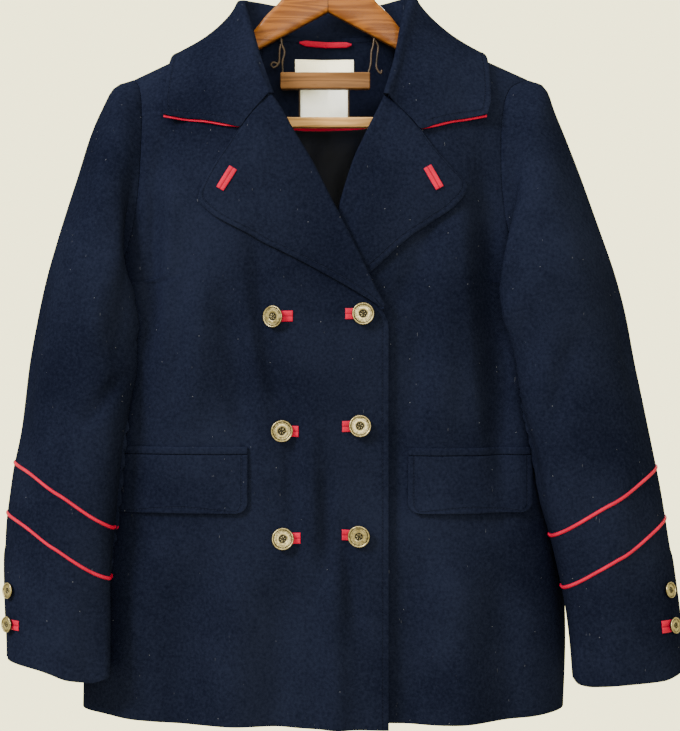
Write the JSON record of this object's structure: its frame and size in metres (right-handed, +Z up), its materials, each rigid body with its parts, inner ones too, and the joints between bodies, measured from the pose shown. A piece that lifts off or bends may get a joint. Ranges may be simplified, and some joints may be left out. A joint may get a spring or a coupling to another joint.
{
  "type": "winter jacket on a hanger",
  "caption": "Hip-length double-breasted wool coat with a broad notched collar, flap pockets and piped sleeves, buttoned up on a wooden hanger with trouser bars.",
  "frame": {"origin": "inside top of the hanger's hook, where a rail carries it", "axes": "+X towards the wearer's left, -Y the front of the coat, +Z up"},
  "size_m": [0.7273, 0.1586, 0.8874],
  "materials": {
    "navy_wool": "felted wool twill with short nap and fine lint",
    "red_cloth": "plain woven red cloth",
    "satin_lining": "dark satin lining",
    "cream_label": "blank woven label",
    "white_label": "blank printed-cloth label",
    "antique_metal": "antique brass with a dark wash",
    "hanger_wood": "clear varnish over pale wood",
    "bar_wood": "satin varnish",
    "hook_steel": "polished",
    "bar_wire": "brass-coloured wire"
  },
  "bodies": {
    "root": {"front_right": "navy_wool", "front_left": "navy_wool", "back": "navy_wool", "sleeve_upper_right": "navy_wool", "sleeve_under_right": "navy_wool", "sleeve_upper_left": "navy_wool", "sleeve_under_left": "navy_wool", "collar": "navy_wool", "lapel_right": "navy_wool", "lapel_left": "navy_wool", "welt_right": "navy_wool", "flap_right": "navy_wool", "welt_left": "navy_wool", "flap_left": "navy_wool", "back_facing": "navy_wool", "undercollar": "red_cloth", "piping_upper_right": "red_cloth", "piping_lower_right": "red_cloth", "piping_upper_left": "red_cloth", "piping_lower_left": "red_cloth", "cuff_hole_right": "red_cloth", "cuff_hole_left": "red_cloth", "buttonhole_right_top": "red_cloth", "buttonhole_right_middle": "red_cloth", "buttonhole_right_low": "red_cloth", "buttonhole_left_top": "red_cloth", "buttonhole_left_middle": "red_cloth", "buttonhole_left_low": "red_cloth", "lapel_hole_right": "red_cloth", "lapel_hole_left": "red_cloth", "facing_piping": "red_cloth", "hanging_loop": "red_cloth", "back_lining": "satin_lining", "label_cream": "cream_label", "label_white": "white_label", "button_right_top": "antique_metal", "button_right_middle": "antique_metal", "button_right_low": "antique_metal", "button_left_top": "antique_metal", "button_left_middle": "antique_metal", "button_left_low": "antique_metal", "cuff_button_high_right": "antique_metal", "cuff_button_low_right": "antique_metal", "cuff_button_high_left": "antique_metal", "cuff_button_low_left": "antique_metal", "hanger_arm_right": "hanger_wood", "hanger_arm_left": "hanger_wood", "bar_upper": "bar_wood", "bar_lower": "bar_wood", "hook": "hook_steel", "bar_wire_right": "bar_wire", "bar_wire_left": "bar_wire", "bar_hook_right": "bar_wire", "bar_hook_left": "bar_wire", "bar_link_right": "bar_wire", "bar_link_left": "bar_wire"}
  },
  "joints": []
}
